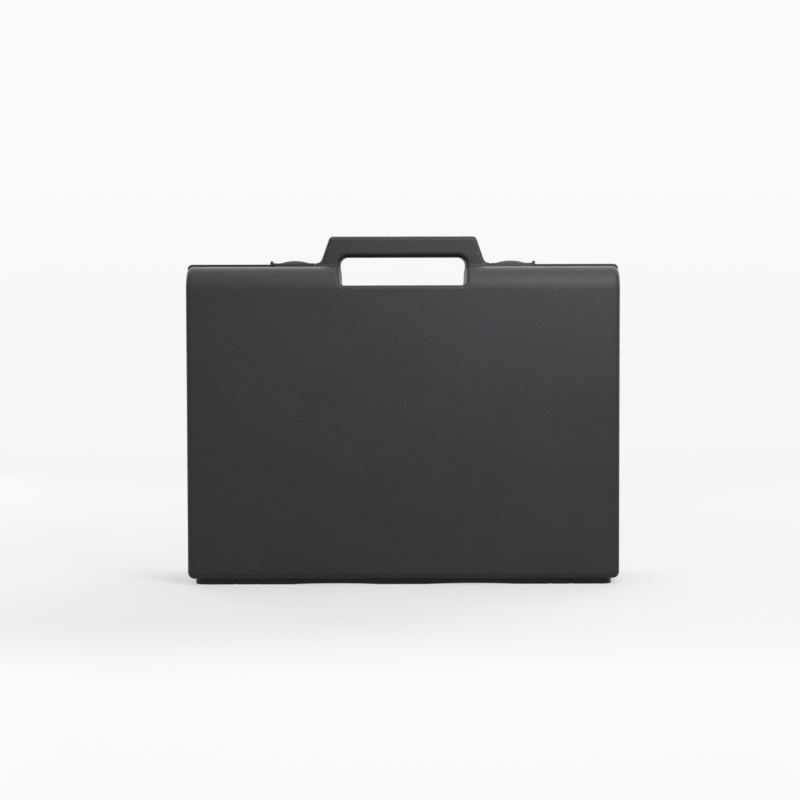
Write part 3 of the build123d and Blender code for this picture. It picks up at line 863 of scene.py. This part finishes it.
@dataclass
class ConvolutedFoam(FoamPiece):
    """The lid's foam: a sheet whose front rises in rows of soft peaks, notched round the hand pocket.

    Attributes:
        thickness: Thickness of the sheet under the valleys.
        pitch: Distance from peak to peak.
        columns: Peaks along the width.
        rows: Peaks up the height.
        peak_middle: Height of the middle of the rows.
        peak_power: Below 1 the peaks are blunt, above 1 they are sharp.
        fullness: Share of the free depth that the peaks fill.
        uneven_scale: Scale of the unevenness of the peaks.
        uneven_depth: Depth of it.
        uneven_growth: How fast it grows up from the valleys.
        cell: Size of the cells of the front face.
        notch_half_width: Half the width of the notch.
        notch_floor: Height of the notch's floor.
        roof_drop: How much lower the top is at the back than at the front.
    """

    thickness: float = 14.0 * MM
    pitch: float = 33.0 * MM
    columns: int = 9
    rows: int = 6
    peak_middle: float = 117.85 * MM
    peak_power: float = 0.85
    fullness: float = 0.985
    uneven_scale: float = 90.0
    uneven_depth: float = 0.5 * MM
    uneven_growth: float = 4.0
    cell: float = 2.75 * MM
    notch_half_width: float = 52.4 * MM
    notch_floor: float = 228.6 * MM
    roof_drop: float = 12.7 * MM

    def build(self) -> None:
        """Build the foam."""
        low, high = (Vector(corner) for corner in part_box(self.node))
        valley = low.y + self.thickness
        mesh = self._sheet(low, high, valley)
        self._notch(mesh)
        front = list(mesh.verts)
        self._thicken(mesh, low, high)
        for vertex in front:
            place = vertex.co
            wave = self._wave(place.x, self.columns) * self._wave(place.z - self.peak_middle, self.rows)
            uneven = noise.noise(place * self.uneven_scale) * self.uneven_depth * min(1.0, wave * self.uneven_growth)
            place.y += (high.y - valley) * wave**self.peak_power * self.fullness + uneven
        shade_smooth(mesh, 50)
        self._lay(mesh, "convoluted", Body.LID)

    def _sheet(self, low: Vector, high: Vector, valley: float) -> Mesh:
        """Lay the front face as a grid in the valley plane.

        Args:
            low: Lower corner of the foam.
            high: Upper corner of the foam.
            valley: Depth of the valley plane.

        Returns:
            The grid.
        """
        width, height = high.x - low.x, high.z - low.z
        mesh = bmesh.new()
        bmesh.ops.create_grid(
            mesh, x_segments=round(width / self.cell), y_segments=round(height / self.cell), size=0.5
        )
        bmesh.ops.scale(mesh, vec=(width, height, 1.0), verts=mesh.verts)
        bmesh.ops.rotate(mesh, cent=(0, 0, 0), matrix=Matrix.Rotation(math.radians(90), 3, "X"), verts=mesh.verts)
        middle = Vector(((low.x + high.x) / 2, valley, (low.z + high.z) / 2))
        bmesh.ops.translate(mesh, vec=middle, verts=mesh.verts)
        return mesh

    def _notch(self, mesh: Mesh) -> None:
        """Cut the notch for the hand pocket out of the grid.

        Args:
            mesh: The grid.
        """
        cuts = (
            ((self.notch_half_width, 0, 0), (1, 0, 0)),
            ((-self.notch_half_width, 0, 0), (1, 0, 0)),
            ((0, 0, self.notch_floor), (0, 0, 1)),
        )
        for place, direction in cuts:
            geometry = mesh.verts[:] + mesh.edges[:] + mesh.faces[:]
            bmesh.ops.bisect_plane(mesh, geom=geometry, dist=TOUCH, plane_co=place, plane_no=direction)
        middles = {face: face.calc_center_median() for face in mesh.faces}
        inside = [
            face for face, middle in middles.items()
            if abs(middle.x) < self.notch_half_width and middle.z > self.notch_floor
        ]
        bmesh.ops.delete(mesh, geom=inside, context="FACES")

    def _thicken(self, mesh: Mesh, low: Vector, high: Vector) -> None:
        """Carry the outline back to the lid, its top sloping down, and close it there.

        Args:
            mesh: The grid.
            low: Lower corner of the foam.
            high: Upper corner of the foam.
        """
        outline = [edge for edge in mesh.edges if edge.is_boundary]
        grown = bmesh.ops.extrude_edge_only(mesh, edges=outline)["geom"]
        for vertex in verts_of(grown):
            vertex.co.y = low.y
            if vertex.co.z > self.notch_floor + 0.1 * MM:
                share = (vertex.co.z - self.notch_floor) / (high.z - self.notch_floor)
                vertex.co.z -= self.roof_drop * share
        rim = [item for item in grown if isinstance(item, Edge) and item.is_boundary]
        bmesh.ops.contextual_create(mesh, geom=rim)
        bmesh.ops.recalc_face_normals(mesh, faces=mesh.faces)

    def _wave(self, place: float, count: int) -> float:
        """Height of the peaks along one direction, from 0 to 1, level beyond the outermost ones.

        Args:
            place: Distance from the middle of the row.
            count: Peaks in the row.

        Returns:
            The share of the full height.
        """
        reach = count * self.pitch / 2
        if abs(place) >= reach:
            return 0.0
        phase = place / self.pitch - (0.0 if count % 2 else 0.5)
        return 0.5 + 0.5 * math.cos(2 * math.pi * phase)


@dataclass
class ShellTrim:
    """Small trim that both shells carry on the left and on the right.

    Attributes:
        label: What the pieces are called.
        material: Shell finish.
    """

    label: ClassVar[str]
    material: Material

    def build(self) -> None:
        """Build the four pieces."""
        for body, facing in ((Body.LID, -1), (Body.BASE, 1)):
            for side, hand in SIDES:
                mesh = self._strip(side, facing)
                add_piece(f"{body.value}_{self.label}_{hand}", mesh, self.material, body)

    def _strip(self, side: int, facing: int) -> Mesh:
        """Shape the piece of one corner, which each kind of trim does in its own way."""
        raise NotImplementedError


@dataclass
class FootFillets(ShellTrim):
    """Small fillets where the handle's legs run into the top of the shells.

    Attributes:
        radius: Radius of the fillet.
        inner_end: Distance from the middle of the case to the inner end.
        outer_end: Distance from the middle of the case to the outer end.
        leg_face: Depth of the legs' faces.
        body_top: Height of the body under the fillet.
        sink: How deep the strip's sides sink into the leg and the body.
        steps: Facets round the fillet.
    """

    label = "foot_fillet"
    radius: float = 2.2 * MM
    inner_end: float = 53.0 * MM
    outer_end: float = 63.6 * MM
    leg_face: float = 14.0 * MM
    body_top: float = 246.74 * MM
    sink: float = 0.4 * MM
    steps: int = 8

    def _strip(self, side: int, facing: int) -> Mesh:
        """Sweep one hollow fillet and close it into the leg and the body.

        Args:
            side: -1 on the left, 1 on the right.
            facing: -1 on the front shell, 1 on the rear shell.

        Returns:
            The closed strip.
        """
        mesh = bmesh.new()
        centre = Vector((0.0, facing * (self.leg_face + self.radius), self.body_top + self.radius))
        ends = [
            mesh.verts.new(centre + Vector((side * reach, 0.0, -self.radius)))
            for reach in (self.inner_end, self.outer_end)
        ]
        start = mesh.edges.new(ends)
        bmesh.ops.spin(
            mesh, geom=[*ends, start], cent=centre, axis=(1.0, 0.0, 0.0), angle=math.radians(-90 * facing),
            steps=self.steps, use_merge=False,
        )
        rim = [edge for edge in mesh.edges if edge.is_boundary and abs(edge.verts[0].co.x - edge.verts[1].co.x) > MM]
        for vertex in grow(mesh, rim):
            vertex.co.y = facing * (self.leg_face - self.sink)
            vertex.co.z = min(vertex.co.z, self.body_top + self.radius)
            if vertex.co.z < self.body_top + self.radius / 2:
                vertex.co.z = self.body_top - self.sink
        bmesh.ops.holes_fill(mesh, edges=[edge for edge in mesh.edges if edge.is_boundary], sides=0)
        bmesh.ops.recalc_face_normals(mesh, faces=mesh.faces)
        shade_smooth(mesh, 40)
        return mesh


@dataclass
class BeadCorners(ShellTrim):
    """Tighter outer corners at the top of the rim bead.

    Attributes:
        half_width: Distance from the middle to the bead's side, just under its surface.
        top: Height of the bead's top, just under its surface.
        radius: Radius of the corner.
        thickness: Thickness of the strip, which sinks into the wall.
        lead: Length of the straight ends.
        start: Depth at which the strip starts behind the seam.
        end: Depth at which it ends.
        bevel: Size of the bevel along its outer edge.
        steps: Facets round the corner.
    """

    label = "bead_corner"
    half_width: float = 169.98 * MM
    top: float = 248.98 * MM
    radius: float = 3.6 * MM
    thickness: float = 3.0 * MM
    lead: float = 3.0 * MM
    start: float = 0.03 * MM
    end: float = 2.37 * MM
    bevel: float = 0.6 * MM
    steps: int = 10

    def _strip(self, side: int, facing: int) -> Mesh:
        """Turn a short strip round one corner and give it its depth.

        Args:
            side: -1 on the left, 1 on the right.
            facing: -1 on the front shell, 1 on the rear shell.

        Returns:
            The closed strip.
        """
        mesh = bmesh.new()
        centre = Vector((side * (self.half_width - self.radius), facing * self.start, self.top - self.radius))
        ends = [mesh.verts.new(centre + Vector((0.0, 0.0, self.radius - drop))) for drop in (self.thickness, 0.0)]
        first = mesh.edges.new(ends)
        swept = bmesh.ops.spin(
            mesh, geom=[*ends, first], cent=centre, axis=(0.0, side, 0.0), angle=math.radians(90),
            steps=self.steps, use_merge=False,
        )["geom_last"]
        last = next(item for item in swept if isinstance(item, Edge))
        for edge, way in ((first, (-side * self.lead, 0.0, 0.0)), (last, (0.0, 0.0, -self.lead))):
            bmesh.ops.translate(mesh, vec=way, verts=grow(mesh, [edge]))
        grown = bmesh.ops.extrude_face_region(mesh, geom=mesh.faces[:])["geom"]
        bmesh.ops.translate(mesh, vec=(0.0, facing * (self.end - self.start), 0.0), verts=verts_of(grown))
        bmesh.ops.recalc_face_normals(mesh, faces=mesh.faces)
        rim = [edge for edge in mesh.edges if all(self._outside(vertex.co, centre) for vertex in edge.verts)]
        bevel_edges(mesh, rim, self.bevel, 1)
        shade_smooth(mesh, 30)
        return mesh

    def _outside(self, place: Vector, centre: Vector) -> bool:
        """Whether a point lies on the outer edge that faces away from the seam."""
        reach = math.hypot(max(0.0, abs(place.x) - abs(centre.x)), max(0.0, place.z - centre.z))
        return abs(place.y) > self.end - TOUCH and reach > self.radius - TOUCH


@dataclass
class LatchPosts:
    """Short posts that stand on the rear shell outboard of the latches.

    Attributes:
        material: Shell finish.
        inner_side: Distance from the middle of the case to a post.
        thickness: Width of a post.
        near: Depth at which a post starts.
        far: Depth at which it ends.
        foot: Height at which it sinks into the shell.
        top: Height of its top.
        round_off: Radius of its upper corners.
        steps: Facets round a corner.
    """

    material: Material
    inner_side: float = 103.12 * MM
    thickness: float = 1.9 * MM
    near: float = 4.2 * MM
    far: float = 14.8 * MM
    foot: float = 246.3 * MM
    top: float = 251.9 * MM
    round_off: float = 2.4 * MM
    steps: int = 8

    def build(self) -> None:
        """Build the two posts."""
        size = Vector((self.thickness, self.far - self.near, self.top - self.foot))
        for side, hand in SIDES:
            across = side * (self.inner_side + self.thickness / 2)
            middle = Vector((across, (self.near + self.far) / 2, (self.foot + self.top) / 2))
            mesh = bmesh.new()
            bmesh.ops.create_cube(mesh, size=1.0)
            bmesh.ops.scale(mesh, vec=size, verts=mesh.verts)
            bmesh.ops.translate(mesh, vec=middle, verts=mesh.verts)
            crown = [edge for edge in mesh.edges if self._crosses_top(edge)]
            bevel_edges(mesh, crown, self.round_off, self.steps)
            shade_smooth(mesh, 30)
            add_piece(f"latch_post_{hand}", mesh, self.material, Body.BASE)

    def _crosses_top(self, edge: Edge) -> bool:
        """Whether an edge of the block runs along X at its top."""
        first, second = (vertex.co for vertex in edge.verts)
        return min(first.z, second.z) > self.top - TOUCH and abs(first.x - second.x) > MM


@dataclass(frozen=True)
class Softbox:
    """Rectangular lamp aimed at the middle of the case.

    Attributes:
        name: Name of the lamp.
        place: Where it hangs.
        size: Width and height of its face.
        power: Power in watts.
        aim: Point that it faces.
    """

    name: str
    place: Point
    size: Span
    power: float
    aim: Point = (0.0, 0.0, 0.14)

    def hang(self) -> None:
        """Add the lamp to the scene."""
        data = bpy.data.lights.new(self.name, "AREA")
        data.shape = "RECTANGLE"
        data.size, data.size_y = self.size
        data.energy = self.power
        lamp = bpy.data.objects.new(self.name, data)
        lamp.location = self.place
        direction = Vector(self.aim) - Vector(self.place)
        lamp.rotation_euler = direction.to_track_quat("-Z", "Y").to_euler()
        bpy.context.scene.collection.objects.link(lamp)


@dataclass
class PaperSweep:
    """Floor in two halves, the rear one curving up into the backdrop.

    Attributes:
        paper: Finish of both halves.
        reach: How far the paper reaches to the sides, to the front and up.
        fold: Depth at which it is divided, so that its front half can swing away with the lid.
        curve_start: Depth at which it curves up.
        curve_radius: Radius of the curve.
        steps: Facets round the curve.
    """

    paper: Material
    reach: float = 6.0
    fold: float = -0.008
    curve_start: float = 3.6
    curve_radius: float = 0.8
    steps: int = 24

    def build(self) -> None:
        """Lay both halves."""
        front, rear = self._flat(-self.reach, self.fold), self._flat(self.fold, self.curve_start)
        self._curve_up(rear)
        for name, mesh in (("floor_front", front), ("floor_rear", rear)):
            for face in mesh.faces:
                face.smooth = True
            floor = new_object(name, mesh, self.paper)
            if name == "floor_front":
                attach(floor, Body.LID.value)

    def _flat(self, start: float, end: float) -> Mesh:
        """Shape a flat stretch of floor.

        Args:
            start: Depth at which it starts.
            end: Depth at which it ends.

        Returns:
            The stretch, one face.
        """
        mesh = bmesh.new()
        bmesh.ops.create_grid(mesh, x_segments=1, y_segments=1, size=1.0)
        bmesh.ops.scale(mesh, vec=(self.reach, (end - start) / 2, 1.0), verts=mesh.verts)
        bmesh.ops.translate(mesh, vec=(0.0, (start + end) / 2, 0.0), verts=mesh.verts)
        return mesh

    def _curve_up(self, mesh: Mesh) -> None:
        """Curve the far end of the floor upwards and carry it on straight.

        Args:
            mesh: The rear half, still flat.
        """
        far = [edge for edge in mesh.edges if all(vertex.co.y > self.curve_start - MM for vertex in edge.verts)]
        bmesh.ops.spin(
            mesh, geom=far, cent=(0.0, self.curve_start, self.curve_radius), axis=(1.0, 0.0, 0.0),
            angle=math.radians(90), steps=self.steps,
        )
        top = max(vertex.co.z for vertex in mesh.verts)
        upper = [edge for edge in mesh.edges if all(vertex.co.z > top - MM for vertex in edge.verts)]
        bmesh.ops.translate(mesh, vec=(0.0, 0.0, self.reach), verts=grow(mesh, upper))


@dataclass
class Studio:
    """Camera, lamps and pale surroundings.

    Attributes:
        camera_place: Place of the camera.
        pitch: Degrees that it looks down.
        roll: Degrees that it leans.
        lens: Focal length in millimetres.
        sensor: Width of its sensor in millimetres.
        soft_light: Strength of the light from all round.
        surround: Display colour that the surroundings show.
    """

    camera_place: Point = (-0.0023, -1.4, 0.2066)
    pitch: float = 2.66
    roll: float = 0.135
    lens: float = 79.45
    sensor: float = 36.0
    soft_light: float = 0.12
    surround: Colour = (247, 248, 248)

    def build(self) -> None:
        """Build the camera, the world, the lamps and the sweep."""
        bpy.context.scene.view_settings.view_transform = "Standard"
        self._camera()
        self._world()
        self._lamps()
        PaperSweep(StudioPaper().build()).build()

    def _camera(self) -> None:
        """Create the scene's camera."""
        data = bpy.data.cameras.new("camera")
        data.sensor_width = self.sensor
        data.lens = self.lens
        camera = bpy.data.objects.new("camera", data)
        camera.location = self.camera_place
        camera.rotation_euler = (math.radians(90 - self.pitch), math.radians(self.roll), 0.0)
        bpy.context.scene.collection.objects.link(camera)
        bpy.context.scene.camera = camera

    def _world(self) -> None:
        """Light the scene softly from all round, and show it pale to the camera."""
        world = bpy.data.worlds.new("studio")
        world.use_nodes = True
        world.node_tree.nodes.clear()
        bpy.context.scene.world = world
        graph = Graph(world.node_tree)
        soft = graph.add(Kind.BACKGROUND, Color=(1.0, 1.0, 1.0, 1.0), Strength=self.soft_light)
        pale = graph.add(Kind.BACKGROUND, Color=tone(*self.surround), Strength=1.0)
        mixed = graph.add(Kind.MIX_SHADER, i0=shown_rays(graph), i1=soft, i2=pale)
        graph.add(Kind.WORLD_OUTPUT, Surface=mixed)

    @staticmethod
    def _lamps() -> None:
        """Hang the soft lamps."""
        softboxes = (
            Softbox("key", place=(0.2, -0.36, 0.47), size=(0.28, 0.28), power=3.0),
            Softbox("overhead", place=(0.0, -0.15, 1.6), size=(1.8, 1.4), power=12.5),
            Softbox("fill", place=(-0.9, -1.1, 0.9), size=(1.0, 1.0), power=3.0),
            Softbox("left_rim", place=(-0.75, 0.8, 0.3), size=(0.4, 0.8), power=6.5),
            Softbox("right_rim", place=(0.8, 0.7, 0.3), size=(0.4, 0.8), power=5.5),
            Softbox("rear", place=(0.0, 0.9, 0.95), size=(1.6, 0.5), power=11.0),
        )
        for softbox in softboxes:
            softbox.hang()


def main() -> None:
    """Build the dressed case and its studio."""
    logging.basicConfig(level=logging.INFO, format="%(name)s: %(message)s")
    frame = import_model()

    effects = Effects()
    shell = MouldedPlastic(
        "shell_plastic", colour=(34, 33, 37), shade=(28, 27, 31), roughness=0.6, clouds=16.0, speckle=1100.0,
        rough_spread=(-0.04, 0.05),
    ).build(effects)
    latch = SatinPlastic(
        "latch_plastic_satin", colour=(27, 27, 30), shade=(22, 22, 25), roughness=0.45, clouds=60.0,
        speckle=1500.0, rough_spread=(-0.05, 0.06),
    ).build(effects)
    steel = DrawnSteel(
        "drawn_steel", colour=(186, 187, 190), shade=(158, 159, 163), roughness=0.3, clouds=90.0,
        speckle=2000.0, rough_spread=(-0.06, 0.1),
    ).build(effects)
    foam = CutFoam(
        "charcoal_foam", colour=(62, 62, 66), shade=(52, 52, 56), roughness=0.95, clouds=22.0, speckle=500.0,
        rough_spread=(-0.05, 0.0), contrast=(0.32, 0.68),
    ).build(effects)
    RigidPieces({Slot.CASE: shell, Slot.LATCH: latch, Slot.STEEL: steel}).dress(frame)

    for node in ("base_pad", "lower_foam", "upper_foam"):
        FoamSheet(node, foam).build(frame)
    ConvolutedFoam("lid_foam", foam).build()
    FootFillets(shell).build()
    BeadCorners(shell).build()
    LatchPosts(shell).build()

    Studio().build()


if __name__ == "__main__":
    main()
